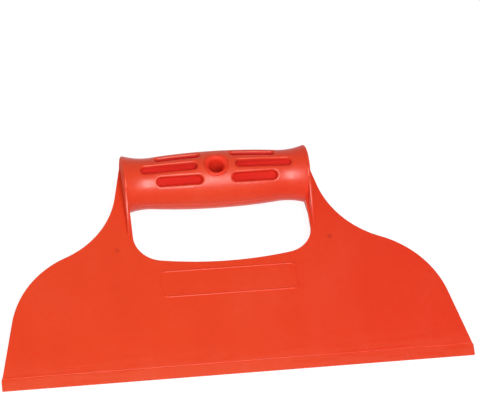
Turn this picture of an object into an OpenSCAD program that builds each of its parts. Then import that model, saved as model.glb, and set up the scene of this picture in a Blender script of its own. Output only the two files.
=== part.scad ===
// Wide plastic hand scraper with an enclosed bar grip, lying face up on its back
// X runs along the working edge, Y from that edge towards the grip, Z is up
// It rests on the rear corner of the working edge and on the two flared grip ends

/* [Blade plate] */
// Width of the blade along its working edge
blade_w = 280; // [274:1:286]
// Thickness of the blade plate
plate_t = 3; // [2.8:0.1:3.2]
// Inset of the plate's lower corners from the ends of the lip
corner_inset = 0.4; // [0.2:0.1:0.6]
// Inward lean of the straight side edges, in degrees
side_lean = 12.4; // [12:0.1:12.8]
// Length of the straight side edges
side_len = 38; // [36.5:0.1:39.5]
// Radius of the round shoulders
shoulder_r = 59.4; // [58:0.2:61]
// Slope of the outline where a shoulder turns into a hollow, in degrees
turn_slope = 23; // [22:0.1:23.6]
// Radius of the hollows between the shoulders and the legs
hollow_r = 57.2; // [56.2:0.2:58.2]
// Slope of the outer edges of the legs, in degrees
leg_slope = 77.5; // [76.5:0.1:78.3]

/* [Working lip] */
// Height of the flexible lip below the plate
lip_h = 6.5; // [6:0.1:7]
// Thickness of the lip at the working edge
edge_t = 1.2; // [1:0.1:1.5]
// Thickness of the tongue that holds the lip in the plate
tongue_t = 1.2; // [1:0.1:1.4]
// Height of the tongue
tongue_h = 4; // [3:0.5:5]

/* [Hand hole] */
// Height of the lowest point of the hand hole above the working edge
hole_y = 75.8; // [75:0.1:77]
// Half width of the hand hole between the legs
hole_half_w = 54.7; // [54.5:0.1:55.2]
// Radius of the shallow bow along the bottom of the hand hole
hole_bow_r = 243; // [230:1:256]
// Radius of the lower corners of the hand hole
hole_corner_r = 18; // [16.4:0.2:19]

/* [Grip] */
// Height of the grip axis above the working edge
grip_y = 135.4; // [134.8:0.1:136]
// Length of the grip
grip_len = 115.6; // [115.2:0.1:116]
// Radius of the grip at its middle
mid_r = 17.8; // [17.6:0.1:18]
// Radius of the grip at its necks
neck_r = 16; // [15.8:0.1:16.2]
// Distance of each neck from the middle
neck_x = 39; // [38:0.5:40]
// Radius that the flared ends would reach with a sharp rim
end_r = 18.5; // [18.2:0.1:18.8]
// Rounding of the rims
rim_round = 1.2; // [1:0.1:1.4]
// Wall of the grip shells
wall = 2.4; // [2:0.1:2.6]
// Thickness of the end walls and of the gusset ribs
end_wall = 1.6; // [1.5:0.1:1.7]
// Height above the working edge at which the gusset ribs start
rib_foot_y = 96.7; // [95:0.1:98]

/* [Grip pockets] */
// Width of each pocket
pocket_w = 5.4; // [5:0.1:5.8]
// Distance of the pocket floors from the grip axis
pocket_floor_r = 12; // [11.6:0.1:12.4]
// Wall round each pocket
pocket_wall = 1.2; // [1:0.1:1.4]
// Angle between the middle row and the outer rows, in degrees
row_step = 30.8; // [30:0.2:31.6]
// Start of the middle row, from the middle of the grip
mid_row_x0 = 11.7; // [11.4:0.1:12.2]
// End of the middle row
mid_row_x1 = 46.9; // [46:0.1:47]
// Start of the outer rows
outer_row_x0 = 9.1; // [8.8:0.1:9.6]
// End of the outer rows
outer_row_x1 = 37.3; // [36.3:0.1:38.3]

/* [Hanging sleeve] */
// Radius of the hanging bore
bore_r = 4.75; // [4.6:0.05:4.9]
// Outer radius of the sleeve's tube
sleeve_r = 6; // [5.8:0.1:6.2]
// Radius of the sleeve's two flanges
flange_r = 7.4; // [7.2:0.1:7.5]
// Depth of the flanges' seats below the crown of the grip
flange_t = 3.4; // [3.2:0.1:3.6]
// Depth of the dished mouths below the crown of the grip
dish_h = 2.5; // [2.3:0.1:2.7]

/* [Screws] */
// Distance of each screw from the middle of the grip
screw_x = 51.9; // [51.8:0.05:52.1]
// Radius of the screw heads
head_r = 3.1; // [2.9:0.1:3.1]
// Height of the screw heads
head_h = 2.2; // [2:0.1:2.4]
// Radius of the screw threads
thread_r = 1.75; // [1.6:0.05:1.8]
// Pitch of the screw threads
thread_pitch = 1.4; // [1.2:0.1:1.6]

/* [Moulded details] */
// Length of the bare panel framed under the hand hole
panel_l = 84; // [80:1:88]
// Height of the framed panel
panel_h = 18.5; // [16:0.5:19.5]
// Height of the panel's middle above the working edge
panel_y = 62; // [61.2:0.2:62.8]
// Width of the raised frame line
frame_w = 1.1; // [0.7:0.1:1.2]
// Height of the raised frame line
frame_h = 0.4; // [0.3:0.05:0.5]
// Corner radius of the panel's frame
panel_r = 4; // [3:0.5:6]
// Depth of the round ejector marks
mark_h = 0.2; // [0.1:0.05:0.3]

/* [Hidden] */
$fn = 96;
fine = 720;
slack = 0.1;
far = 60;
half_t = plate_t / 2;
half_len = grip_len / 2;

// Outline of one side, from the lip's corner up to the top of the leg
corner_x = blade_w / 2 - corner_inset;
side_top = [corner_x - side_len * sin(side_lean), lip_h + side_len * cos(side_lean)];
shoulder_c = side_top - shoulder_r * [cos(side_lean), sin(side_lean)];
turn_dir = [sin(turn_slope), cos(turn_slope)];
turn_pt = shoulder_c + shoulder_r * turn_dir;
hollow_c = turn_pt + hollow_r * turn_dir;
leg_foot = hollow_c - hollow_r * [sin(leg_slope), cos(leg_slope)];
leg_top_y = grip_y + 10.9;
leg_top_x = leg_foot[0] - (leg_top_y - leg_foot[1]) / tan(leg_slope);
leg_x = hole_half_w - 0.5;

// Crossbar of the plate, hidden inside the grip
bar_half_h = 9.6;

// Ejector marks on one side of the plate: place and radius
marks = [[118.8, 20, 2.6], [65.3, 87.9, 1.1]];

// Hand hole: a bowed bottom edge and two corner circles that touch it and the legs
bow_c = [0, hole_y + hole_bow_r];
corner_c_x = hole_half_w - hole_corner_r;
corner_c_y = bow_c[1] - sqrt(pow(hole_bow_r - hole_corner_r, 2) - pow(corner_c_x, 2));
bow_end = bow_c + ([corner_c_x, corner_c_y] - bow_c) * hole_bow_r / (hole_bow_r - hole_corner_r);

// Grip profile: a barrel arc with a flare arc tangent to it at each neck
barrel_r = (pow(neck_x, 2) + pow(mid_r - neck_r, 2)) / (2 * (mid_r - neck_r));
barrel_c = mid_r - barrel_r;
neck_dir = [neck_r - barrel_c, neck_x] / barrel_r;
rise = [end_r - neck_r, half_len - neck_x];
flare_r = (rise * rise) / (2 * rise * neck_dir);
flare_c = [neck_r, neck_x] + flare_r * neck_dir;

// Rounded rim: a small circle that touches the flare and the end face
rim_x = half_len - rim_round;
rim_c = [flare_c[0] - sqrt(pow(flare_r + rim_round, 2) - pow(rim_x - flare_c[1], 2)), rim_x];
rim_touch_x = flare_c[1] + (rim_x - flare_c[1]) * flare_r / (flare_r + rim_round);
rim_r = rim_c[0] + rim_round;

// Gusset rib: its sloping edge touches the grip near the flared end
rib_grip_r = rim_r - 0.4;
rib_run = grip_y - rib_foot_y;
rib_slope = asin(rib_grip_r / norm([rib_run, half_t])) - atan(half_t / rib_run);
rib_touch = [grip_y - rib_grip_r * sin(rib_slope), rib_grip_r * cos(rib_slope)];

// Grip fixings
seat_z = 11;
front_boss_r = 4;
rear_boss_r = 4.4;
counterbore_r = head_r + 0.3;
clear_r = thread_r + 0.15;
pilot_r = thread_r + 0.05;
pilot_top = 12.4;
core_r = 1.45;
screw_tip_z = 11;
tip_h = 1;
tip_r = 0.5;
head_round = 0.7;
recess_l = 3.8;
recess_w = 0.9;
recess_h = 1.3;
flange_seat_z = mid_r - flange_t;
flange_lip = 0.3;
collar_r = flange_r + 1.2;

// Lean that lets the rear corner of the lip and the grip ends touch the ground together
lean = asin(rim_r / norm([grip_y, half_t])) - atan(half_t / grip_y);
lift = half_t * cos(lean);
low_y = (half_t - edge_t) * sin(lean);
high_y = grip_y * cos(lean) + rim_r;
shift_y = -(low_y + high_y) / 2;

// Places the tool, drawn flat with its plate's middle at Z 0, as it lies
module lay() {
    translate([0, shift_y, lift]) rotate([lean, 0, 0]) children();
}

// Repeats a shape on the right and on the left
module both_sides() {
    children();
    mirror([1, 0, 0]) children();
}

// Repeats a profile above and below its X axis
module both_ends() {
    children();
    mirror([0, 1]) children();
}

// Flat shape of the plate without its hand hole
module plate_outline() {
    both_sides() difference() {
        union() {
            polygon([
                [0, lip_h], [corner_x, lip_h], side_top, turn_pt, leg_foot,
                [leg_top_x, leg_top_y], [leg_x, leg_top_y],
                [leg_x, grip_y + bar_half_h], [0, grip_y + bar_half_h]
            ]);
            intersection() {
                translate(shoulder_c) circle(shoulder_r, $fn = fine);
                translate([0, lip_h]) square([blade_w / 2, grip_y]);
            }
        }
        translate(hollow_c) circle(hollow_r, $fn = fine);
    }
}

module hand_hole() {
    top_y = grip_y - bar_half_h;
    both_sides() {
        polygon([
            [0, bow_end[1]], bow_end, [corner_c_x, corner_c_y],
            [hole_half_w, corner_c_y], [hole_half_w, top_y], [0, top_y]
        ]);
        translate([corner_c_x, corner_c_y]) circle(hole_corner_r);
    }
    intersection() {
        translate(bow_c) circle(hole_bow_r, $fn = fine);
        translate([-bow_end[0], 0]) square([2 * bow_end[0], bow_end[1]]);
    }
}

// Rounded rectangle made of two bars and four corner circles
module round_rect(l, h, r) {
    square([l, h - 2 * r], center = true);
    square([l - 2 * r, h], center = true);
    for (x = [-1, 1], y = [-1, 1]) translate([x * (l / 2 - r), y * (h / 2 - r)]) circle(r);
}

module blade_plate() {
    color([0.91, 0.27, 0.15]) lay() {
        difference() {
            translate([0, 0, -half_t]) linear_extrude(plate_t) difference() {
                plate_outline();
                hand_hole();
            }
            translate([-blade_w / 2, lip_h - 1, -tongue_t / 2]) cube([blade_w, tongue_h + 1, tongue_t]);
            translate([0, grip_y, -plate_t]) cylinder(r = sleeve_r + slack, h = 2 * plate_t);
            both_sides() translate([screw_x, grip_y, -plate_t]) cylinder(r = clear_r, h = 2 * plate_t);
            both_sides() for (mark = marks)
                translate([mark[0], mark[1], half_t - mark_h]) cylinder(r = mark[2], h = plate_t);
        }
        translate([0, panel_y, half_t]) linear_extrude(frame_h) difference() {
            round_rect(panel_l, panel_h, panel_r);
            round_rect(panel_l - 2 * frame_w, panel_h - 2 * frame_w, panel_r - frame_w);
        }
    }
}

module edge_lip() {
    color([0.93, 0.33, 0.21]) lay() {
        translate([-blade_w / 2, 0, 0]) rotate([90, 0, 90]) linear_extrude(blade_w)
            polygon([[0, -half_t], [lip_h, -half_t], [lip_h, half_t], [0, edge_t - half_t]]);
        translate([0, 0, -tongue_t / 2]) linear_extrude(tongue_t) both_sides() polygon([
            [0, lip_h - 1], [corner_x, lip_h - 1], [corner_x, lip_h],
            [corner_x - tongue_h * tan(side_lean), lip_h + tongue_h], [0, lip_h + tongue_h]
        ]);
    }
}

// Half profile of the grip, cut back by inset: radius along X, length along Y
module grip_profile(inset) {
    intersection() {
        translate([barrel_c, 0]) circle(barrel_r - inset, $fn = 4 * fine);
        translate([0, -neck_x - neck_dir[1] * inset]) square([mid_r, 2 * (neck_x + neck_dir[1] * inset)]);
    }
    flare_len = half_len - neck_x + 1 - (inset > 0 ? end_wall : 0);
    both_ends() difference() {
        translate([0, neck_x - 1]) square([end_r - inset, flare_len]);
        translate(flare_c) circle(flare_r + inset, $fn = fine);
        translate([neck_r - inset, 0]) square([end_r, neck_x + neck_dir[1] * inset]);
        if (inset == 0) translate([rim_c[0], rim_touch_x]) square(end_r);
    }
    if (inset == 0) both_ends() translate(rim_c) circle(rim_round);
}

module grip_solid(inset) {
    translate([0, grip_y, 0]) rotate([0, 90, 0]) rotate_extrude($fn = 180) grip_profile(inset);
}

// Stadium outline between two places along the grip
module stadium(x0, x1, w) {
    translate([x0 + w / 2, -w / 2]) square([x1 - x0 - w, w]);
    for (x = [x0 + w / 2, x1 - w / 2]) translate([x, 0]) circle(w / 2, $fn = 48);
}

// All pockets of one half of the grip, grown sideways and downwards by grow
module pockets(grow) {
    rows = [[-1, outer_row_x0, outer_row_x1], [0, mid_row_x0, mid_row_x1], [1, outer_row_x0, outer_row_x1]];
    both_sides() for (row = rows) translate([0, grip_y, 0]) rotate([row[0] * row_step, 0, 0])
        translate([0, 0, pocket_floor_r - grow]) linear_extrude(end_r)
            stadium(row[1] - grow, row[2] + grow, pocket_w + 2 * grow);
}

// Rib between the grip's end wall and the face of the leg
module gusset() {
    translate([half_len - end_wall, 0, 0]) rotate([90, 0, 90]) linear_extrude(end_wall)
        polygon([[rib_foot_y, half_t], rib_touch, [grip_y, rib_touch[1]], [grip_y, half_t]]);
}

// Half of the grip above the plate, before its fixings are cut
module half_shell(boss_r) {
    difference() {
        union() {
            difference() {
                grip_solid(0);
                grip_solid(wall);
            }
            intersection() {
                grip_solid(wall / 2);
                union() {
                    pockets(pocket_wall);
                    translate([0, grip_y, half_t]) cylinder(r = collar_r, h = end_r);
                    both_sides() translate([screw_x, grip_y, half_t]) cylinder(r = boss_r, h = end_r);
                }
            }
            both_sides() gusset();
        }
        translate([-blade_w, 0, -far]) cube([2 * blade_w, grip_y + far, far]);
        pockets(0);
        translate([0, grip_y, -1]) cylinder(r = sleeve_r + slack, h = far);
        translate([0, grip_y, flange_seat_z]) cylinder(r = flange_r + slack, h = far);
        both_sides() translate([leg_x - slack, 0, -far]) cube([far, leg_top_y + slack, far + half_t]);
    }
}

module grip_front_shell() {
    color([0.93, 0.29, 0.18]) lay() difference() {
        half_shell(front_boss_r);
        both_sides() translate([screw_x, grip_y, -1]) cylinder(r = pilot_r, h = pilot_top + 1);
    }
}

module grip_rear_shell() {
    color([0.9, 0.26, 0.16]) lay() mirror([0, 0, 1]) difference() {
        half_shell(rear_boss_r);
        both_sides() translate([screw_x, grip_y, -1]) {
            cylinder(r = clear_r, h = far);
            translate([0, 0, seat_z + 1]) cylinder(r = counterbore_r, h = far);
        }
    }
}

// Tubular rivet whose flanges are trimmed to the barrel of the grip
module hang_sleeve() {
    mouth_z = mid_r - dish_h;
    dish_r = flange_r - flange_lip;
    color([0.86, 0.22, 0.16]) lay() intersection() {
        grip_solid(0);
        translate([0, grip_y, 0]) rotate_extrude() polygon([
            [bore_r, -mouth_z], [dish_r, -mid_r], [flange_r, -mid_r],
            [flange_r, -flange_seat_z], [sleeve_r, -flange_seat_z],
            [sleeve_r, flange_seat_z], [flange_r, flange_seat_z],
            [flange_r, mid_r], [dish_r, mid_r], [bore_r, mouth_z]
        ]);
    }
}

// One self-tapping screw, its head towards the back of the grip
module screw() {
    head_z = -seat_z - head_h;
    thread_z0 = half_t + 0.5;
    turns = floor((screw_tip_z - tip_h - thread_z0) / thread_pitch);
    flank_h = thread_pitch / 3;
    difference() {
        union() {
            translate([0, 0, head_z]) cylinder(r1 = head_r - head_round, r2 = head_r, h = head_round);
            translate([0, 0, head_z + head_round]) cylinder(r = head_r, h = head_h - head_round);
            translate([0, 0, -seat_z]) cylinder(r = core_r, h = seat_z + screw_tip_z - tip_h);
            translate([0, 0, screw_tip_z - tip_h]) cylinder(r1 = core_r, r2 = tip_r, h = tip_h);
            for (i = [0 : turns - 1]) translate([0, 0, thread_z0 + i * thread_pitch]) {
                cylinder(r1 = core_r, r2 = thread_r, h = flank_h);
                translate([0, 0, flank_h]) cylinder(r1 = thread_r, r2 = core_r, h = flank_h);
            }
        }
        for (turn = [0, 90]) rotate([0, 0, turn])
            translate([-recess_l / 2, -recess_w / 2, head_z - 1]) cube([recess_l, recess_w, recess_h + 1]);
    }
}

module shell_screws() {
    color([0.72, 0.73, 0.75]) lay() both_sides() translate([screw_x, grip_y, 0]) screw();
}

blade_plate();
edge_lip();
grip_front_shell();
grip_rear_shell();
hang_sleeve();
shell_screws();
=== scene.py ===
import math

import bmesh
import bpy
from mathutils import Matrix, Vector
from mathutils.geometry import tessellate_polygon


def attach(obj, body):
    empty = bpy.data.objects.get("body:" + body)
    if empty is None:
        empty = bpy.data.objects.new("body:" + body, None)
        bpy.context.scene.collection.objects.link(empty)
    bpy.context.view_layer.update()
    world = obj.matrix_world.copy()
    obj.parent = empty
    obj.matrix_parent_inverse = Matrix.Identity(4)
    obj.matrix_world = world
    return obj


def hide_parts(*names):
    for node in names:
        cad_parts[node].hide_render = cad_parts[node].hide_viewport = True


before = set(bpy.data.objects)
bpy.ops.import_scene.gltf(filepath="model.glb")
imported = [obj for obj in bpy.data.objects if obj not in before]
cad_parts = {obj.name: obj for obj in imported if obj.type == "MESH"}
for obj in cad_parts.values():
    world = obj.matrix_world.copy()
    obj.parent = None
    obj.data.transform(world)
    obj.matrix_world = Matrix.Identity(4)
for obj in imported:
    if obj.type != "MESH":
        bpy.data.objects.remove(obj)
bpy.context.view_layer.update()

# Sizes are in millimetres and drawn flat: x along the blade, y from the working edge to the grip,
# z through the plate. layDown() turns a finished mesh to the way the tool lies, in metres.
tool = {"plateHalf": 1.5, "edgeThick": 1.2, "gripY": 135.4}

grip = {
    "halfLength": 57.8, "middleRadius": 17.8, "neckRadius": 16.0, "neckPlace": 39.0,
    "flareRadius": 18.5, "rimRounding": 1.2, "pocketWidth": 5.4, "pocketFloor": 12.0,
    "rowAngle": 30.8, "middleStart": 11.7, "middleEnd": 46.9, "outerStart": 9.1, "outerEnd": 37.3,
    "recessRadius": 7.5, "recessFloor": 14.3, "passage": 6.1, "drillSides": 72, "drillLength": 60.0,
    "screwPlace": 51.9, "screwBore": 3.4, "screwSeat": 11.0, "boreSoftness": 0.35,
    # up to the sleeve's zone its recess is the nearest hollow, past the screw's zone its bore is
    "sleeveZone": 8.27, "screwZone": 47.7,
    # the net that a shell is bent from, with its turns in degrees
    "cell": 0.3, "fineColumns": 187, "rimColumns": 8, "fineRows": 46, "rowTurn": 0.96,
    "sideRows": 12, "seamFrom": 89.1, "seamDepth": 0.25, "faceInset": 0.03,
    "mergeWithin": 0.004, "tiny": 0.001, "sharpAngle": 70.0,
}


def arcOf(centre, radius, fromAngle, toAngle, steps):
    return [(centre[0] + radius * math.cos(math.radians(fromAngle + (toAngle - fromAngle) * i / steps)),
             centre[1] + radius * math.sin(math.radians(fromAngle + (toAngle - fromAngle) * i / steps)))
            for i in range(steps + 1)]


# The grip's own curves: a barrel arc, a flare arc that touches it, and a small round rim
def gripCurves(g):
    drop = g["middleRadius"] - g["neckRadius"]
    barrel = (g["neckPlace"] ** 2 + drop ** 2) / (2 * drop)
    centre = g["middleRadius"] - barrel
    out = ((g["neckRadius"] - centre) / barrel, g["neckPlace"] / barrel)
    rise = (g["flareRadius"] - g["neckRadius"], g["halfLength"] - g["neckPlace"])
    flare = (rise[0] ** 2 + rise[1] ** 2) / (2 * (rise[0] * out[0] + rise[1] * out[1]))
    flareHeight = g["neckRadius"] + flare * out[0]
    flarePlace = g["neckPlace"] + flare * out[1]
    rimPlace = g["halfLength"] - g["rimRounding"]
    rimHeight = flareHeight - math.sqrt((flare + g["rimRounding"]) ** 2 - (rimPlace - flarePlace) ** 2)
    touch = math.asin((flarePlace - rimPlace) / (flare + g["rimRounding"]))
    return {"barrel": barrel, "barrelHeight": centre, "flare": flare, "flareHeight": flareHeight,
            "flarePlace": flarePlace, "rimPlace": rimPlace, "rimHeight": rimHeight, "rimTouch": touch}


curves = gripCurves(grip)
rimRadius = curves["rimHeight"] + grip["rimRounding"]
reach = math.hypot(tool["gripY"], tool["plateHalf"])
lean = math.asin(rimRadius / reach) - math.atan(tool["plateHalf"] / tool["gripY"])
lift = tool["plateHalf"] * math.cos(lean)
lowY = (tool["plateHalf"] - tool["edgeThick"]) * math.sin(lean)
shiftY = -(lowY + tool["gripY"] * math.cos(lean) + rimRadius) / 2
lay = Matrix.Scale(0.001, 4) @ Matrix.Translation((0, shiftY, lift)) @ Matrix.Rotation(lean, 4, "X")
alongX = Matrix(((0, 0, 1, 0), (1, 0, 0, 0), (0, 1, 0, 0), (0, 0, 0, 1)))  # turns a slab's thickness along x


def layDown(mesh):
    mesh.transform(lay)
    mesh.update()


def addObject(name, mesh, material=None):
    piece = bpy.data.objects.new(name, mesh)
    bpy.context.collection.objects.link(piece)
    if material:
        mesh.materials.clear()
        mesh.materials.append(material)
    return piece


# A socket that sums can be written with: each operation adds one Math node
class Wire:
    def __init__(self, sheet, socket):
        self.sheet, self.socket = sheet, socket

    def math(self, operation, *after, before=None):
        values = [self, *after] if before is None else [before, self]
        return self.sheet.add("ShaderNodeMath", {"operation": operation}, dict(enumerate(values)))

    def of(self, output):
        return Wire(self.sheet, self.socket.node.outputs[output])

    def __add__(self, other):
        return self.math("ADD", other)

    def __radd__(self, other):
        return self.math("ADD", other)

    def __sub__(self, other):
        return self.math("SUBTRACT", other)

    def __rsub__(self, other):
        return self.math("SUBTRACT", before=other)

    def __mul__(self, other):
        return self.math("MULTIPLY", other)

    def __rmul__(self, other):
        return self.math("MULTIPLY", other)

    def __truediv__(self, other):
        return self.math("DIVIDE", other)

    def __rtruediv__(self, other):
        return self.math("DIVIDE", before=other)

    def __lt__(self, other):
        return self.math("LESS_THAN", other)

    def __gt__(self, other):
        return self.math("GREATER_THAN", other)

    def __abs__(self):
        return self.math("ABSOLUTE")

    def root(self):
        return self.math("MAXIMUM", 0.0).math("SQRT")

    def least(self, other):
        return self.math("MINIMUM", other)

    def most(self, other):
        return self.math("MAXIMUM", other)

    def within(self, low, high):
        return self.most(low).least(high)

    # the same whole number, give or take a rounding error
    def near(self, value):
        return self.math("COMPARE", value, 0.4)

    def choose(self, yes, no):
        return (yes - no) * self + no


class Sheet:
    def __init__(self, tree):
        self.tree = tree
        tree.nodes.clear()

    # a node's type, then its settings, then the values or links of its sockets
    def add(self, kind, settings=None, feeds=None, output=0):
        node = self.tree.nodes.new(kind)
        for name, value in (settings or {}).items():
            setattr(node, name, value)
        for name, value in (feeds or {}).items():
            for one in value if isinstance(value, list) else [value]:
                if isinstance(one, Wire):
                    self.tree.links.new(one.socket, node.inputs[name])
                else:
                    node.inputs[name].default_value = one
        return Wire(self, node.outputs[output]) if node.outputs else node


def shaderSheet(name):
    material = bpy.data.materials.new(name)
    material.use_nodes = True
    return material, Sheet(material.node_tree)


def blendColours(sheet, factor, first, second, way="MIX"):
    return sheet.add("ShaderNodeMix", {"data_type": "RGBA", "blend_type": way},
                     {0: factor, 6: first, 7: second}, 2)


def noiseAt(sheet, place, scale, detail=2.0, rough=0.5, stretch=(1, 1, 1), turn=(0, 0, 0)):
    moved = sheet.add("ShaderNodeMapping", None, {"Vector": place, "Rotation": turn, "Scale": stretch})
    return sheet.add("ShaderNodeTexNoise", None,
                     {"Vector": moved, "Scale": scale, "Detail": detail, "Roughness": rough})


# noise patterns, by what they make
patterns = {
    "clouds": {"scale": 22.0, "detail": 3.0, "rough": 0.55},
    "flow": {"scale": 60.0, "stretch": (1.0, 0.22, 0.22)},
    "specks": {"scale": 260.0, "rough": 0.6},
    "grain": {"scale": 1400.0, "rough": 0.6},
    "peel": {"scale": 420.0, "detail": 1.0},
    "longWays": {"scale": 30.0, "stretch": (1.0, 42.0, 42.0), "turn": (0, 0, 0.12)},
    "crossWays": {"scale": 34.0, "stretch": (36.0, 1.2, 36.0), "turn": (0, 0, -0.3)},
}
wearStreaks = {"scale": 46.0, "detail": 4.0, "rough": 0.65, "stretch": (0.45, 5.0, 5.0)}

# what all the plastics share: how much each pattern counts, and where and how fast it sets in
common = {
    "clouds": 1.3, "flow": 0.8, "specks": 0.7, "toPale": 0.5, "toDeep": 0.6,
    "longFrom": 0.66, "crossFrom": 0.68, "scratchRise": 9.0, "scratchPale": 0.10, "scratchDull": 0.05,
    "scratchDepth": 0.25, "grainDull": 0.07, "grainHeight": 0.12, "bump": 0.5, "refraction": 1.49,
    "crimson": (0.98, 0.76, 0.87), "crimsonRise": 9.0, "crimsonMiddle": 0.15,
    "wearReach": 20.0, "wearFade": 55.0, "streakFrom": 0.44, "streakRise": 5.0, "wearDull": 0.12,
    "dirt": (0.30, 0.012, 0.008),
}
# In metres: the bowed line under which a pocket's inside, with its painted shade, lies and how far along it
# goes, and where the flat ends lie and how low they are dulled
pocketShade = {"radius": 0.0169, "bow": 1.18, "fade": 1100.0, "farX": 0.0566, "endX": 0.05762, "low": -0.0165}

plastics = {
    "plate": {"colour": (0.84, 0.054, 0.010), "deep": (0.76, 0.036, 0.009), "pale": (0.89, 0.10, 0.045),
              "rough": 0.38, "shine": 0.18, "scratch": 1.2, "peel": 0.00006, "mottle": 0.08, "wear": 0.30,
              "dirt": [{"place": (65.3, 87.9, 1.5), "reach": 0.0022, "strength": -0.12}]},
    "lip": {"colour": (0.78, 0.056, 0.009), "deep": (0.73, 0.044, 0.010), "pale": (0.86, 0.13, 0.07),
            "rough": 0.44, "shine": 0.08, "scratch": 1.5, "peel": 0.00005, "mottle": 0.08, "wear": 0.10},
    # the grip's floor colour is painted shade: a darker, deeper red for the inside of its pockets
    "grip": {"colour": (0.81, 0.055, 0.015), "deep": (0.73, 0.040, 0.012), "pale": (0.85, 0.11, 0.05),
             "rough": 0.33, "shine": 0.18, "scratch": 0.5, "peel": 0.00007, "mottle": 0.26,
             "floor": (0.72, 0.019, 0.009), "floorDull": 0.60, "endDull": 0.45},
    # the sleeve's red is brighter than the grip's: painted light, lifting its shaded bore
    "sleeve": {"colour": (0.93, 0.046, 0.018), "deep": (0.86, 0.034, 0.014), "pale": (0.92, 0.09, 0.05),
               "rough": 0.42, "shine": 0.08, "scratch": 0.4, "peel": 0.00006, "mottle": 0.08},
}


# the inside of the grip's pockets, which takes painted shade, and its flat ends
def pocketShadeMasks(spot):
    p = pocketShade
    axis = lay @ Vector((0, tool["gripY"], 0))
    up, out = spot.of("Z") - axis.z, spot.of("Y") - axis.y
    rimLine = p["radius"] - spot.of("X") * spot.of("X") * p["bow"]
    under = ((rimLine - (up * up + out * out).root()) * p["fade"]).within(0.0, 1.0)
    inside = under * (abs(spot.of("X")) < p["farX"])
    ends = (abs(spot.of("X")) > p["endX"]) * (up > p["low"])
    return inside, ends


# pale streaks near the working edge, where the tool is rubbed
def wearMask(sheet, place, spot, strongest):
    c = common
    streaks = noiseAt(sheet, place, **wearStreaks)
    top = (lay @ Vector((0, c["wearReach"], 0))).y
    fade = ((top - spot.of("Y")) * c["wearFade"]).within(0.0, 1.0)
    return fade * ((streaks - c["streakFrom"]) * c["streakRise"]).within(0.0, strongest)


# dirt that has gathered in a small hollow, mirrored left and right
def dirtMask(spot, tone, stain):
    middle = lay @ Vector(stain["place"])
    side, along, deep = abs(spot.of("X")) - middle.x, spot.of("Y") - middle.y, spot.of("Z") - middle.z
    apart = (side * side + along * along + deep * deep).root()
    strength = (1.0 - apart * (1 / stain["reach"])).within(0.0, 1.0) * (tone + stain["strength"])
    return strength.within(0.0, 1.0)


def mouldedPlastic(name, look, pockets=False):
    material, sheet = shaderSheet(name)
    c = common
    place = sheet.add("ShaderNodeTexCoord", output="Object")
    spot = sheet.add("ShaderNodeSeparateXYZ", None, {0: place})
    clouds, flow, specks, grain, peel, longWays, crossWays = (
        noiseAt(sheet, place, **pattern) for pattern in patterns.values())
    # fine wiping scratches in two directions
    scratches = (((longWays - c["longFrom"]) * c["scratchRise"]).within(0.0, 1.0)
                 + ((crossWays - c["crossFrom"]) * c["scratchRise"]).within(0.0, 1.0))
    tone = ((clouds - 0.5) * c["clouds"] + (flow - 0.5) * c["flow"]
            + (specks - 0.5) * c["specks"] + 0.5).within(0.0, 1.0)
    pale = look["pale"] + (1,)
    colour = blendColours(sheet, ((tone - 0.5) * c["toPale"]).most(0.0), look["colour"] + (1,), pale)
    colour = blendColours(sheet, ((0.5 - tone) * c["toDeep"]).most(0.0), colour, look["deep"] + (1,))
    # the colour turns a little towards crimson on the right
    crimson = (spot.of("X") * c["crimsonRise"] + c["crimsonMiddle"]).within(0.0, 1.0)
    colour = blendColours(sheet, crimson, colour, c["crimson"] + (1,), "MULTIPLY")
    colour = blendColours(sheet, scratches.least(1.0) * (c["scratchPale"] * look["scratch"]), colour, pale)
    rough = ((tone - 0.5) * look["mottle"] + (grain - 0.5) * c["grainDull"]
             + scratches * (c["scratchDull"] * look["scratch"]) + look["rough"])
    if pockets:
        inside, ends = pocketShadeMasks(spot)
        # painted shade: the inside of the pockets takes a darker, deeper red, and is also made duller
        colour = blendColours(sheet, inside, colour, look["floor"] + (1,))
        rough = rough + inside * look["floorDull"] + ends * look["endDull"]
    if "wear" in look:
        worn = wearMask(sheet, place, spot, look["wear"])
        colour = blendColours(sheet, worn, colour, pale)
        rough = rough + worn * c["wearDull"]
    for stain in look.get("dirt", []):
        colour = blendColours(sheet, dirtMask(spot, tone, stain), colour, c["dirt"] + (1,))
    height = peel + grain * c["grainHeight"] - scratches * (c["scratchDepth"] * look["scratch"])
    bump = sheet.add("ShaderNodeBump", None,
                     {"Strength": c["bump"], "Distance": look["peel"], "Height": height})
    shader = sheet.add("ShaderNodeBsdfPrincipled", None,
                       {"Base Color": colour, "Roughness": rough, "Normal": bump, "IOR": c["refraction"],
                        "Specular IOR Level": look["shine"]})
    sheet.add("ShaderNodeOutputMaterial", None, {"Surface": shader})
    return material


zinc = {"bright": (0.66, 0.67, 0.68, 1), "stained": (0.50, 0.49, 0.44, 1), "rough": 0.2,
        "grain": {"scale": 900.0, "rough": 0.6}, "stains": {"scale": 260.0, "detail": 3.0, "rough": 0.6},
        "grainDull": 0.2, "stainDull": 0.15, "bump": 0.4, "depth": 0.00003}


def screwSteel(name, look):
    material, sheet = shaderSheet(name)
    place = sheet.add("ShaderNodeTexCoord", output="Object")
    grain = noiseAt(sheet, place, **look["grain"])
    stains = noiseAt(sheet, place, **look["stains"])
    colour = blendColours(sheet, stains, look["bright"], look["stained"])
    rough = grain * look["grainDull"] + stains * look["stainDull"] + look["rough"]
    bump = sheet.add("ShaderNodeBump", None,
                     {"Strength": look["bump"], "Distance": look["depth"], "Height": grain})
    shader = sheet.add("ShaderNodeBsdfPrincipled", None,
                       {"Base Color": colour, "Metallic": 1.0, "Roughness": rough, "Normal": bump})
    sheet.add("ShaderNodeOutputMaterial", None, {"Surface": shader})
    return material


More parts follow.
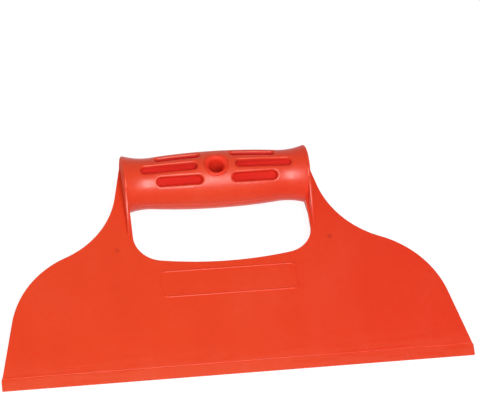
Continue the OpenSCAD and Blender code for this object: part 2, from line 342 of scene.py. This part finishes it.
platePlastic = mouldedPlastic("platePlastic", plastics["plate"])
lipPlastic = mouldedPlastic("lipPlastic", plastics["lip"])
gripPlastic = mouldedPlastic("gripPlastic", plastics["grip"], pockets=True)
sleevePlastic = mouldedPlastic("sleevePlastic", plastics["sleeve"])
steel = screwSteel("screwSteel", zinc)
print("materials made")


# Moves every point of a closed loop to its left by the same distance. The last value keeps the
# point of a very sharp corner from running far out
def inset(loop, distance, sharpest=0.35):
    moved = []
    for i, point in enumerate(loop):
        before, after = Vector(loop[i - 1]), Vector(loop[(i + 1) % len(loop)])
        first, second = (Vector(point) - before).normalized(), (after - Vector(point)).normalized()
        normal = Vector((-first.y - second.y, first.x + second.x)).normalized()
        stretch = max(normal.dot(Vector((-second.y, second.x))), sharpest)
        moved.append(Vector(point) + normal * (distance / stretch))
    return moved


# A flat shape given its thickness, with the edges on both faces rounded. Loops run anticlockwise
# round the shape and clockwise round its holes
def roundedSlab(loops, low, high, rounding, steps=4):
    shape = bmesh.new()
    profile = [(rounding * (1 - math.cos(a)), low + rounding * (1 - math.sin(a)))
               for a in [math.pi / 2 * (1 - i / steps) for i in range(steps + 1)]]
    profile += [(back, low + high - z) for back, z in reversed(profile)]
    bottoms, tops = [], []
    for loop in loops:
        rings = [[shape.verts.new((p.x, p.y, z)) for p in inset(loop, back)] for back, z in profile]
        count = len(loop)
        for below, above in zip(rings, rings[1:]):
            for i in range(count):
                shape.faces.new((below[i], below[(i + 1) % count], above[(i + 1) % count], above[i]))
        bottoms.append(rings[0])
        tops.append(rings[-1])
    for caps in (bottoms, tops):
        flat = [vert for ring in caps for vert in ring]
        for corners in tessellate_polygon([[vert.co.copy() for vert in ring] for ring in caps]):
            shape.faces.new([flat[i] for i in corners])
    bmesh.ops.recalc_face_normals(shape, faces=shape.faces)
    return shape


def smoothMesh(mesh, sharpAngle=40.0):
    mesh.polygons.foreach_set("use_smooth", [True] * len(mesh.polygons))
    mesh.set_sharp_from_angle(angle=math.radians(sharpAngle))
    mesh.update()


def finishMesh(shape, name, sharpAngle=40.0):
    mesh = bpy.data.meshes.new(name)
    shape.to_mesh(mesh)
    shape.free()
    smoothMesh(mesh, sharpAngle)
    return mesh


def evenNormals(piece):
    weighted = piece.modifiers.new("evenNormals", "WEIGHTED_NORMAL")
    weighted.keep_sharp = True
    weighted.weight = 90


def cut(mesh, cutters, name):
    body = addObject(name, mesh)
    tools = []
    for cutter in cutters:
        toolMesh = bpy.data.meshes.new(name + "Cutter")
        cutter.to_mesh(toolMesh)
        cutter.free()
        tools.append(addObject(name + "Cutter", toolMesh))
        boolean = body.modifiers.new("cut", "BOOLEAN")
        boolean.operation = "DIFFERENCE"
        boolean.solver = "EXACT"
        boolean.object = tools[-1]
    graph = bpy.context.evaluated_depsgraph_get()
    done = bpy.data.meshes.new_from_object(body.evaluated_get(graph))
    for extra in [body] + tools:
        bpy.data.objects.remove(extra, do_unlink=True)
    return done


def diskCutter(x, y, radius, low, high, sides=64):
    cutter = bmesh.new()
    bmesh.ops.create_cone(cutter, cap_ends=True, segments=sides, radius1=radius, radius2=radius,
                          depth=high - low, matrix=Matrix.Translation((x, y, (low + high) / 2)))
    return cutter


def boxCutter(low, high):
    cutter = bmesh.new()
    middle = (Vector(low) + Vector(high)) / 2
    size = Vector(high) - Vector(low)
    bmesh.ops.create_cube(cutter, size=1.0, matrix=Matrix.Translation(middle) @ Matrix.Diagonal((*size, 1)))
    return cutter


def geometrySheet(name, inputs):
    tree = bpy.data.node_groups.new(name, "GeometryNodeTree")
    for label, kind in inputs.items():
        tree.interface.new_socket(label, in_out="INPUT", socket_type="NodeSocket" + kind)
    tree.interface.new_socket("Geometry", in_out="OUTPUT", socket_type="NodeSocketGeometry")
    sheet = Sheet(tree)
    return sheet, sheet.add("NodeGroupInput").of


def growMesh(name, sheet, values):
    seed = addObject(name + "Seed", bpy.data.meshes.new(name + "Seed"))
    grower = seed.modifiers.new(name, "NODES")
    grower.node_group = sheet.tree
    for item in sheet.tree.interface.items_tree:
        if item.item_type == "SOCKET" and item.in_out == "INPUT":
            grower[item.identifier] = values[item.name]
    graph = bpy.context.evaluated_depsgraph_get()
    mesh = bpy.data.meshes.new_from_object(seed.evaluated_get(graph))
    seed.modifiers.clear()
    bpy.data.objects.remove(seed, do_unlink=True)
    mesh.name = name
    return mesh


plate = {
    "cornerX": 139.6, "lipHeight": 6.5, "sideLean": 12.4, "sideLength": 38.0, "shoulder": 59.4,
    "turnSlope": 23.0, "hollow": 57.2, "legSlope": 77.5, "legTopY": 146.3, "legInnerX": 54.2,
    "barHalf": 9.6, "holeLow": 75.8, "holeHalf": 54.7, "holeBow": 243.0, "holeCorner": 18.0,
    "edgeRound": 0.42, "arcSteps": 40, "holeSteps": 24, "screwHole": 1.9, "screwSides": 24,
    "passageSides": 64, "grooveHalf": 0.6, "grooveDeep": 4.0, "grooveReach": 145.0,
    "marks": [(118.8, 20.0, 2.6), (65.3, 87.9, 1.1)], "markDeep": 0.2,  # each mark's place and radius
}
panel = {"length": 84.0, "height": 18.5, "place": 62.0, "corner": 4.0, "cornerSteps": 10,
         "lineWidth": 1.1, "lineHeight": 0.4, "lineSides": 16, "lineSharp": 80.0}


def plateOutline(p):
    tilt = math.radians(p["sideLean"])
    sideTop = (p["cornerX"] - p["sideLength"] * math.sin(tilt),
               p["lipHeight"] + p["sideLength"] * math.cos(tilt))
    shoulder = (sideTop[0] - p["shoulder"] * math.cos(tilt), sideTop[1] - p["shoulder"] * math.sin(tilt))
    slope = math.radians(p["turnSlope"])
    both = p["shoulder"] + p["hollow"]
    hollow = (shoulder[0] + both * math.sin(slope), shoulder[1] + both * math.cos(slope))
    right = [(p["cornerX"], p["lipHeight"])]
    right += arcOf(shoulder, p["shoulder"], p["sideLean"], 90 - p["turnSlope"], p["arcSteps"])
    right += arcOf(hollow, p["hollow"], 270 - p["turnSlope"], 270 - p["legSlope"], p["arcSteps"])[1:]
    foot = right[-1]
    topX = foot[0] - (p["legTopY"] - foot[1]) / math.tan(math.radians(p["legSlope"]))
    right += [(topX, p["legTopY"]), (p["legInnerX"], p["legTopY"]),
              (p["legInnerX"], tool["gripY"] + p["barHalf"])]
    return right + [(-x, y) for x, y in reversed(right)]


def handHole(p):
    bowY = p["holeLow"] + p["holeBow"]
    cornerX = p["holeHalf"] - p["holeCorner"]
    cornerY = bowY - math.sqrt((p["holeBow"] - p["holeCorner"]) ** 2 - cornerX ** 2)
    swing = math.degrees(math.atan2(cornerX, bowY - cornerY))
    right = arcOf((0, bowY), p["holeBow"], 270, 270 + swing, p["holeSteps"])[1:]
    right += arcOf((cornerX, cornerY), p["holeCorner"], 270 + swing, 360, p["holeSteps"])[1:]
    right += [(p["holeHalf"], tool["gripY"] - p["barHalf"])]
    whole = [(0, p["holeLow"])] + right + [(-x, y) for x, y in reversed(right)]
    return list(reversed(whole))


def clockwiseCircle(x, y, radius, count):
    return list(reversed(arcOf((x, y), radius, 0, 360 - 360 / count, count - 1)))


def panelLineMesh(p, material):
    sizes = {"Length": p["length"], "Height": p["height"], "Corner radius": p["corner"],
             "Line width": p["lineWidth"], "Line height": p["lineHeight"]}
    sheet, given = geometrySheet("panelLine", {**dict.fromkeys(sizes, "Float"), "Material": "Material"})
    path = sheet.add("GeometryNodeCurvePrimitiveQuadrilateral", None,
                     {"Width": given("Length") - given("Line width"),
                      "Height": given("Height") - given("Line width")})
    path = sheet.add("GeometryNodeFilletCurve", {"mode": "POLY"},
                     {"Curve": path, "Count": p["cornerSteps"],
                      "Radius": given("Corner radius") - given("Line width") * 0.5})
    ring = sheet.add("GeometryNodeCurvePrimitiveCircle", None, {"Resolution": p["lineSides"], "Radius": 1.0})
    size = sheet.add("ShaderNodeCombineXYZ", None,
                     {"X": given("Line width") * 0.5, "Y": given("Line height"), "Z": 1.0})
    ring = sheet.add("GeometryNodeTransform", None, {"Geometry": ring, "Scale": size})
    line = sheet.add("GeometryNodeCurveToMesh", None, {"Curve": path, "Profile Curve": ring})
    line = sheet.add("GeometryNodeRealizeInstances", None, {"Geometry": line})
    line = sheet.add("GeometryNodeSetMaterial", None, {"Geometry": line, "Material": given("Material")})
    sheet.add("NodeGroupOutput", None, {"Geometry": line})
    return growMesh("panelLine", sheet, {**sizes, "Material": material})


def makePlate(p):
    half = tool["plateHalf"]
    loops = [plateOutline(p), handHole(p)]
    loops.append(clockwiseCircle(0, tool["gripY"], grip["passage"], p["passageSides"]))
    for x in (-grip["screwPlace"], grip["screwPlace"]):
        loops.append(clockwiseCircle(x, tool["gripY"], p["screwHole"], p["screwSides"]))
    mesh = finishMesh(roundedSlab(loops, -half, half, p["edgeRound"]), "plateBlank")
    # each cutter starts 1 mm outside the plate
    cutters = [boxCutter((-p["grooveReach"], p["lipHeight"] - 1, -p["grooveHalf"]),
                         (p["grooveReach"], p["lipHeight"] + p["grooveDeep"], p["grooveHalf"]))]
    for x, y, radius in p["marks"]:
        cutters += [diskCutter(side * x, y, radius, half - p["markDeep"], half + 1) for side in (-1, 1)]
    mesh = cut(mesh, cutters, "plateCut")
    smoothMesh(mesh)
    line = panelLineMesh(panel, platePlastic)
    line.transform(Matrix.Translation((0, panel["place"], half)))
    smoothMesh(line, panel["lineSharp"])
    whole = bmesh.new()
    whole.from_mesh(mesh)
    whole.from_mesh(line)
    mesh = finishMesh(whole, "plateBody")
    layDown(mesh)
    piece = addObject("plateBody", mesh, platePlastic)
    evenNormals(piece)
    return piece


plateBody = makePlate(plate)
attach(plateBody, "root")
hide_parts("blade_plate")
print("plate made")


lip = {"halfWidth": 140.0, "step": 0.25, "endRound": 0.3, "edgeRound": 0.35, "cornerRound": 0.2,
       "tongueFrom": 0.05, "tongueGap": 0.1, "sharpAngle": 50.0}


# Rounds the corners of a closed shape, each with its own radius
def roundCorners(corners, steps=4):
    points = []
    for i, (x, y, radius) in enumerate(corners):
        here = Vector((x, y))
        back = (Vector(corners[i - 1][:2]) - here).normalized()
        ahead = (Vector(corners[(i + 1) % len(corners)][:2]) - here).normalized()
        if radius == 0:
            points.append((x, y))
            continue
        corner = back.angle(ahead)
        run = radius / math.tan(corner / 2)
        middle = here + (back + ahead).normalized() * (radius / math.sin(corner / 2))
        first, last = here + back * run - middle, here + ahead * run - middle
        swing = first.angle_signed(last)
        for k in range(steps + 1):
            turned = Matrix.Rotation(-swing * k / steps, 2) @ first
            points.append(tuple(middle + turned))
    return points


def makeLip(l):
    half, edge = tool["plateHalf"], tool["edgeThick"]
    high, deep, tongue = plate["lipHeight"], plate["grooveDeep"], plate["grooveHalf"]
    edgeRound, cornerRound = l["edgeRound"], l["cornerRound"]
    section = roundCorners([
        (0, -half, edgeRound), (high, -half + l["step"], cornerRound), (high, -tongue, 0),
        (high + deep, -tongue, cornerRound), (high + deep, tongue, cornerRound), (high, tongue, 0),
        (high, half - l["step"], cornerRound), (0, edge - half, edgeRound)])
    shape = roundedSlab([section], -l["halfWidth"], l["halfWidth"], l["endRound"], 3)
    # the tongue is shorter than the lip, so that the plate's sloping sides cover its ends
    for vert in shape.verts:
        up = vert.co.x - high
        if up > l["tongueFrom"]:
            reachable = plate["cornerX"] - up * math.tan(math.radians(plate["sideLean"])) - l["tongueGap"]
            vert.co.z = max(min(vert.co.z, reachable), -reachable)
    mesh = finishMesh(shape, "lipBand", l["sharpAngle"])
    mesh.transform(alongX)
    layDown(mesh)
    piece = addObject("lipBand", mesh, lipPlastic)
    evenNormals(piece)
    return piece


lipBand = makeLip(lip)
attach(lipBand, "root")
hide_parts("edge_lip")
print("lip made")


rib = {"thick": 1.6, "footY": 96.7, "shortOfRim": 0.4, "rounding": 0.4, "behindEnd": 0.15, "rooted": 0.3}

# How a pocket's wall runs. A point so many cells from the outline goes so far out, and so deep
rimSteps = [(4, 1.2, 0.0), (3, 0.82, 0.09), (2, 0.48, 0.27), (1, 0.2, 0.55), (0, 0.0, 1.1)]
# or, at the foot of the wall, so high over the floor
footSteps = [(-1, -0.12, 0.6), (-2, -0.3, 0.2), (-3, -0.65, 0.0)]


# the grip's radius without its hollows, at a place along it
def gripProfile(given, x):
    barrelRadius, flareRadius = given("Barrel radius"), given("Flare radius")
    barrel = (barrelRadius * barrelRadius - x * x).root() + given("Barrel height")
    beyond = x - given("Flare place")
    flare = given("Flare height") - (flareRadius * flareRadius - beyond * beyond).root()
    return (x > given("Neck place")).choose(flare, barrel)


# the pocket, sleeve recess or screw bore that a point is nearest to
def nearestHollow(g, given, x, angle):
    nearSleeve = x < g["sleeveZone"]
    nearScrew = (x > g["screwZone"]) * given("Screw bores")
    plain = (1.0 - nearSleeve) * (1.0 - nearScrew)
    rowNumber = (angle / given("Row angle")).math("ROUND").within(-1.0, 1.0) * plain
    rowTilt = rowNumber * given("Row angle") * (math.pi / 180)
    outer = abs(rowNumber)
    half = given("Pocket width") * 0.5
    start = outer.choose(given("Outer start"), given("Middle start")) + half
    end = outer.choose(given("Outer end"), given("Middle end")) - half
    centre = nearScrew.choose(given("Screw place"), x.most(start).least(end)) * (1.0 - nearSleeve)
    halfWide = nearSleeve.choose(given("Recess radius"), nearScrew.choose(given("Screw bore"), half))
    pocketFloor = nearScrew.choose(given("Screw seat"), given("Pocket floor"))
    floor = nearSleeve.choose(given("Recess floor"), pocketFloor)
    soft = plain * (1.0 - g["boreSoftness"]) + g["boreSoftness"]
    return rowTilt, centre, halfWide, floor, soft


# drills the shell for the sleeve and adds a rib at each end
def finishShell(g, sheet, given, shell):
    shell = sheet.add("GeometryNodeMergeByDistance", None,
                      {"Geometry": shell, "Distance": g["mergeWithin"]})
    drill = sheet.add("GeometryNodeMeshCylinder", None,
                      {"Vertices": g["drillSides"], "Radius": given("Passage"), "Depth": g["drillLength"]})
    shell = sheet.add("GeometryNodeMeshBoolean", {"operation": "DIFFERENCE", "solver": "MANIFOLD"},
                      {"Mesh 1": shell, "Mesh 2": drill})
    left = sheet.add("ShaderNodeCombineXYZ", None, {"X": given("Rib place") * -1.0})
    apart = sheet.add("ShaderNodeCombineXYZ", None, {"X": given("Rib place") * 2.0})
    spots = sheet.add("GeometryNodeMeshLine", None, {"Count": 2, "Start Location": left, "Offset": apart})
    oneRib = sheet.add("GeometryNodeObjectInfo", None, {"Object": given("Rib")}, "Geometry")
    ribs = sheet.add("GeometryNodeInstanceOnPoints", None, {"Points": spots, "Instance": oneRib})
    both = sheet.add("GeometryNodeJoinGeometry", None, {"Geometry": [shell, ribs]})
    both = sheet.add("GeometryNodeRealizeInstances", None, {"Geometry": both})
    both = sheet.add("GeometryNodeSetMaterial", None, {"Geometry": both, "Material": given("Material")})
    sheet.add("NodeGroupOutput", None, {"Geometry": both})


# the sizes that one half of the grip is made from; only the rear has bores for the screws
def shellSizes(g, c, side):
    return {
        "Side": float(side), "Barrel radius": c["barrel"], "Barrel height": c["barrelHeight"],
        "Neck place": g["neckPlace"], "Flare radius": c["flare"], "Flare height": c["flareHeight"],
        "Flare place": c["flarePlace"], "Rim rounding": g["rimRounding"], "Rim place": c["rimPlace"],
        "Rim height": c["rimHeight"], "Rim touch": -c["rimTouch"], "Pocket width": g["pocketWidth"],
        "Pocket floor": g["pocketFloor"], "Row angle": g["rowAngle"], "Middle start": g["middleStart"],
        "Middle end": g["middleEnd"], "Outer start": g["outerStart"], "Outer end": g["outerEnd"],
        "Recess radius": g["recessRadius"], "Recess floor": g["recessFloor"], "Passage": g["passage"],
        "Screw place": g["screwPlace"], "Screw bore": g["screwBore"], "Screw seat": g["screwSeat"],
        "Screw bores": 1.0 if side < 0 else 0.0, "Seam depth": g["seamDepth"],
        "Rib place": g["halfLength"] - rib["behindEnd"] - rib["thick"] / 2}


# From the middle out: fine columns, the rim's, one on the end face and the axis. Gives the place of
# a column without and with the rim, whether it is on the rim, the radius there, and what is kept of
# the radius on the end face
def alongGrip(g, given, outward):
    firstRim = g["fineColumns"] + 1
    lastRim = firstRim + g["rimColumns"]
    fineX = outward * g["cell"]
    onRim = outward > firstRim - 0.5
    onFace = outward > lastRim + 0.5
    onAxis = outward > lastRim + 1.5
    rimTurn = ((outward - firstRim) / g["rimColumns"]).within(0.0, 1.0)
    rimAngle = given("Rim touch") * -1.0 + (given("Rim touch") + math.pi / 2) * rimTurn
    x = onRim.choose(given("Rim place") + given("Rim rounding") * rimAngle.math("SINE"), fineX)
    radiusOnRim = given("Rim height") + given("Rim rounding") * rimAngle.math("COSINE")
    keep = (1.0 - onAxis) * (1.0 - onFace * g["faceInset"])
    return fineX, x, onRim, radiusOnRim, keep


# From the crown down: fine rows, wide ones, two in the seam and the axis. Gives the angle of a row
# in degrees, how deep the seam is there, and what is kept of the radius
def roundGrip(g, given, row):
    across = abs(row)
    lastSide = g["fineRows"] + g["sideRows"]
    sideTurn = (g["seamFrom"] - g["fineRows"] * g["rowTurn"]) / g["sideRows"]
    seamTurn = 90.0 - g["seamFrom"]
    turn = (across.least(g["fineRows"]) * g["rowTurn"]
            + (across - g["fineRows"]).within(0, g["sideRows"]) * sideTurn
            + (across - lastSide).within(0, 2) * (seamTurn / 2))
    inSeam = ((turn - g["seamFrom"]) / seamTurn).within(0.0, 1.0)
    seam = inSeam * inSeam * given("Seam depth")
    keep = 1.0 - (across > lastSide + 2.5)
    return turn * row.math("SIGN"), seam, keep


# Half a grip: a net of points is bent round the axis, and the points near a hollow's outline are
# pushed onto its wall
def gripTree(g):
    inputs = dict.fromkeys(shellSizes(g, curves, 1), "Float")
    sheet, given = geometrySheet("gripShell", {**inputs, "Rib": "Object", "Material": "Material"})
    # the points lie on whole numbers, and the last three each way are those that the two functions name
    columns = g["fineColumns"] + g["rimColumns"] + 3
    rows = g["fineRows"] + g["sideRows"] + 3
    net = sheet.add("GeometryNodeMeshGrid", None,
                    {"Size X": 2.0 * columns, "Size Y": 2.0 * rows,
                     "Vertices X": 2 * columns + 1, "Vertices Y": 2 * rows + 1})
    place = sheet.add("ShaderNodeSeparateXYZ", None, {0: sheet.add("GeometryNodeInputPosition")})
    column, row = place.of("X"), place.of("Y")
    fineX, x, onRim, radiusOnRim, keepAlong = alongGrip(g, given, abs(column))
    angle, seam, keepRound = roundGrip(g, given, row)
    keep = keepAlong * keepRound
    rowTilt, centre, halfWide, floor, soft = nearestHollow(g, given, x, angle)
    pastRows = (abs(row) > g["fineRows"] + 0.5) * (2 * g["halfLength"])  # no hollow reaches the wide rows
    radius = (onRim.choose(radiusOnRim, gripProfile(given, fineX)) - seam) * keep
    swing = angle * (math.pi / 180) - rowTilt
    sideways = radius * swing.math("SINE")
    alongBy = x - centre
    distance = (alongBy * alongBy + sideways * sideways).root() + pastRows
    level = ((distance - halfWide) / g["cell"]).math("ROUND")
    masks = {number: level.near(number) for number, back, deep in rimSteps + footSteps}
    target = sum(masks[number] * (back * soft) for number, back, deep in rimSteps + footSteps if back)
    sunk = sum(masks[number] * (deep * soft) for number, back, deep in rimSteps if deep)
    raised = sum(masks[number] * (up * soft) for number, back, up in footSteps if up)
    moved = sum(masks.values())
    push = (target + halfWide - distance) * moved / distance.most(g["tiny"])
    newX = x + alongBy * push
    newSide = sideways + sideways * push
    newRadius = (onRim.choose(radiusOnRim, gripProfile(given, newX)) - seam) * keep
    top = (newRadius * newRadius - newSide * newSide).root() - sunk
    height = (level < -0.5).choose(floor + raised, top)
    y = newSide * rowTilt.math("COSINE") + height * rowTilt.math("SINE")
    z = height * rowTilt.math("COSINE") - newSide * rowTilt.math("SINE")
    position = sheet.add("ShaderNodeCombineXYZ", None,
                         {"X": newX * column.math("SIGN"), "Y": y * given("Side"), "Z": z * given("Side")})
    shell = sheet.add("GeometryNodeSetPosition", None, {"Geometry": net, "Position": position})
    finishShell(g, sheet, given, shell)
    return sheet


def ribObject(r, side):
    half = tool["plateHalf"]
    radius = rimRadius - r["shortOfRim"]
    run = tool["gripY"] - r["footY"]
    slope = math.asin(radius / math.hypot(run, half)) - math.atan(half / run)
    touch = (-radius * math.sin(slope), radius * math.cos(slope))
    low = half - r["rooted"]
    # seen from its side, with the grip's axis at 0: along the plate, up to the rim, down to the foot
    loop = [(-run, low), (0, low), (0, touch[1]), touch, (-run, half)]
    loop = [(u, v * side) for u, v in loop]
    if side < 0:
        loop.reverse()
    shape = roundedSlab([loop], -r["thick"] / 2, r["thick"] / 2, r["rounding"], 3)
    mesh = finishMesh(shape, "rib")
    mesh.transform(alongX)
    return addObject("ribShape", mesh)


def makeShell(name, sheet, side):
    ribShape = ribObject(rib, side)
    sizes = shellSizes(grip, curves, side)
    mesh = growMesh(name, sheet, {**sizes, "Rib": ribShape, "Material": gripPlastic})
    bpy.data.objects.remove(ribShape, do_unlink=True)
    mesh.transform(Matrix.Translation((0, tool["gripY"], 0)))
    smoothMesh(mesh, grip["sharpAngle"])
    layDown(mesh)
    print(name, "has", len(mesh.vertices), "points")
    return addObject(name, mesh, gripPlastic)


shellSheet = gripTree(grip)
frontShell = makeShell("gripFront", shellSheet, 1)
rearShell = makeShell("gripRear", shellSheet, -1)
for shell, node in ((frontShell, "grip_front_shell"), (rearShell, "grip_rear_shell")):
    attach(shell, "root")
    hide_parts(node)
print("grip shells made")


# The in, out and down values are shares of the soft edge. The sink values say how far the points of
# a rounded edge lie under its sharp form
sleeve = {
    "bore": 4.75, "tube": 6.0, "flange": 7.4, "seat": 14.4, "mouth": 15.3, "dishReach": 7.1,
    "softEdge": 0.3, "edgeIn": 0.3, "edgeDown": 0.35, "edgeSink": 0.02,
    "landRoom": 0.05, "landSink": 0.01, "brimOut": 0.55, "brimIn": 0.6, "brimSink": 0.09,
    "dishSink": 0.03, "dishShares": (0.6, 0.3), "mouthWide": 0.25, "mouthSink": 0.02,
    "throatWide": 0.07, "throatSink": 0.1, "boreSink": 0.4, "boreRing": 8.0,
    "turns": 96, "sharpAngle": 60.0, "closeEnough": 0.000001,
}


# the height of the grip's surface over its axis
def barrelTop(x, y):
    radius = curves["barrelHeight"] + math.sqrt(curves["barrel"] ** 2 - x * x)
    return math.sqrt(radius * radius - y * y)


# The upper half of the sleeve's section where it faces one way: up the tube, over the flange and
# down the bore. The loop finds the brim, where the dish meets the grip's surface
def sleeveSection(s, across, along):
    slope = (grip["middleRadius"] - s["mouth"]) / (s["dishReach"] - s["bore"])

    def top(r):
        return barrelTop(r * across, r * along)

    def dish(r):
        return s["mouth"] + (r - s["bore"]) * slope

    brim, beyond = s["bore"], s["flange"]
    while beyond - brim > s["closeEnough"]:
        middle = (brim + beyond) / 2
        if dish(middle) < top(middle):
            brim = middle
        else:
            beyond = middle
    soft, outer, bore = s["softEdge"], s["flange"], s["bore"]
    land = min(brim + s["brimOut"] * soft, outer - soft - s["landRoom"])
    inner = brim - s["brimIn"] * soft
    section = [(s["tube"], 0.0), (s["tube"], s["seat"]), (outer, s["seat"]), (outer, top(outer) - soft),
               (outer - s["edgeIn"] * soft, top(outer) - s["edgeDown"] * soft),
               (outer - soft, top(outer - soft) - s["edgeSink"]),
               (land, top(land) - s["landSink"]), (brim, top(brim) - s["brimSink"]),
               (inner, dish(inner) - s["dishSink"])]
    for share in s["dishShares"]:
        place = bore + (brim - bore) * share
        section.append((place, dish(place)))
    return section + [(bore + s["mouthWide"], dish(bore + s["mouthWide"]) - s["mouthSink"]),
                      (bore + s["throatWide"], s["mouth"] - s["throatSink"]),
                      (bore, s["mouth"] - s["boreSink"]), (bore, s["boreRing"]), (bore, 0.0)]


def makeSleeve(s):
    shape = bmesh.new()
    rings = []
    for i in range(s["turns"]):
        angle = 2 * math.pi * i / s["turns"]
        across, along = math.cos(angle), math.sin(angle)
        upper = sleeveSection(s, across, along)
        lower = [(r, -z) for r, z in reversed(upper[1:-1])]
        rings.append([shape.verts.new((r * across, tool["gripY"] + r * along, z)) for r, z in upper + lower])
    count = len(rings[0])
    for i, here in enumerate(rings):
        there = rings[(i + 1) % len(rings)]
        for k in range(count):
            shape.faces.new((here[k], there[k], there[(k + 1) % count], here[(k + 1) % count]))
    bmesh.ops.recalc_face_normals(shape, faces=shape.faces)
    mesh = finishMesh(shape, "sleeveTube", s["sharpAngle"])
    layDown(mesh)
    return addObject("sleeveTube", mesh, sleevePlastic)


sleeveTube = makeSleeve(sleeve)
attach(sleeveTube, "root")
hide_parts("hang_sleeve")
print("sleeve made")

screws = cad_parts["shell_screws"]
for holder in screws.material_slots:
    holder.material = steel


# Focal is in pixels of the image. Distance and shift are in millimetres and say where the middle of
# the working edge lies before the camera
view = {"focal": 1990.3, "azimuth": -9.23, "elevation": -31.68, "roll": -8.71, "distance": 1163.5,
        "shiftX": 1.66, "shiftY": -94.11, "imageWidth": 480.0, "sensorWidth": 36.0, "clipStart": 0.05}


def placeCamera(v):
    az, el, roll = (math.radians(v[name]) for name in ("azimuth", "elevation", "roll"))
    ahead = -Vector((math.sin(az) * math.cos(el), -math.cos(az) * math.cos(el), math.sin(el)))
    level = Vector((math.cos(az), math.sin(az), 0))
    upright = level.cross(ahead)
    right = level * math.cos(roll) + upright * math.sin(roll)
    up = upright * math.cos(roll) - level * math.sin(roll)
    spot = -(right * v["shiftX"] + up * v["shiftY"] + ahead * v["distance"])
    # the angles are those for an upright plate, and this lays it flat with its face up
    flatten = Matrix(((1, 0, 0), (0, 0, 1), (0, -1, 0)))
    turn = lay.to_3x3().normalized()
    axes = [turn @ (flatten @ axis) for axis in (right, up, -ahead)]
    place = lay @ (flatten @ spot + Vector((0, 0, tool["plateHalf"])))
    camera = bpy.data.objects.new("camera", bpy.data.cameras.new("camera"))
    bpy.context.collection.objects.link(camera)
    matrix = Matrix.Identity(4)
    for i in range(3):
        for k in range(3):
            matrix[k][i] = axes[i][k]
        matrix[i][3] = place[i]
    camera.matrix_world = matrix
    camera.data.sensor_fit = "HORIZONTAL"
    camera.data.sensor_width = v["sensorWidth"]
    camera.data.lens = v["focal"] * v["sensorWidth"] / v["imageWidth"]
    camera.data.clip_start = v["clipStart"]
    bpy.context.scene.camera = camera


placeCamera(view)


paper = {"half": 3.0, "dark": (0.86, 0.86, 0.86, 1), "light": (0.90, 0.90, 0.90, 1),
         "fibres": {"scale": 300.0, "rough": 0.6}, "glow": 1.22, "glowShare": 0.72}


# 1 where the camera, a reflection or a clear piece looks, 0 for the light that falls on the tool
def seenRays(sheet):
    path = sheet.add("ShaderNodeLightPath")
    return path.of("Is Camera Ray").most(path.of("Is Glossy Ray")).most(path.of("Is Transmission Ray"))


def paperFloor(p):
    material, sheet = shaderSheet("paperFloor")
    place = sheet.add("ShaderNodeTexCoord", output="Object")
    fibres = noiseAt(sheet, place, **p["fibres"])
    matt = sheet.add("ShaderNodeBsdfDiffuse", None,
                     {"Color": blendColours(sheet, fibres, p["dark"], p["light"])})
    glow = sheet.add("ShaderNodeEmission", None, {"Color": (1, 1, 1, 1), "Strength": p["glow"]})
    both = sheet.add("ShaderNodeMixShader", None, {0: seenRays(sheet) * p["glowShare"], 1: matt, 2: glow})
    sheet.add("ShaderNodeOutputMaterial", None, {"Surface": both})
    mesh = bpy.data.meshes.new("floor")
    corners = [(x * p["half"], y * p["half"], 0) for x, y in ((-1, -1), (1, -1), (1, 1), (-1, 1))]
    mesh.from_pydata(corners, [], [(0, 1, 2, 3)])
    floor = addObject("floor", mesh, material)


paperFloor(paper)


# the glint lamp only makes highlights, it doesn't brighten the colours
studio = {
    "ambient": 0.44,
    "key": {"watts": 7.8, "wide": 0.24, "long": 0.70, "distance": 1.2, "towards": (0.05, -0.62, 0.78)},
    "glint": {"watts": 25.0, "wide": 0.30, "long": 0.66, "distance": 1.2, "towards": (0.04, -0.62, 0.78)},
    "fill": {"watts": 2.6, "wide": 0.9, "long": 0.9, "distance": 1.4, "towards": (-0.60, -0.78, 0.45)},
}


def lightStudio(s):
    world = bpy.data.worlds.new("studio")
    bpy.context.scene.world = world
    world.use_nodes = True
    sheet = Sheet(world.node_tree)
    glow = sheet.add("ShaderNodeBackground", None,
                     {"Color": (1, 1, 1, 1), "Strength": seenRays(sheet).choose(1.0, s["ambient"])})
    sheet.add("ShaderNodeOutputWorld", None, {"Surface": glow})
    for name in ("key", "glint", "fill"):
        lamp = bpy.data.objects.new(name + "Light", bpy.data.lights.new(name + "Light", "AREA"))
        bpy.context.collection.objects.link(lamp)
        lamp.data.energy = s[name]["watts"]
        lamp.data.shape = "RECTANGLE"
        lamp.data.size, lamp.data.size_y = s[name]["wide"], s[name]["long"]
        towards = Vector(s[name]["towards"]).normalized()
        lamp.location = towards * s[name]["distance"]
        lamp.rotation_euler = towards.to_track_quat("Z", "Y").to_euler()
        lamp.visible_diffuse = name != "glint"


lightStudio(studio)
bpy.context.scene.view_settings.view_transform = "Standard"
print("camera, floor and light placed")
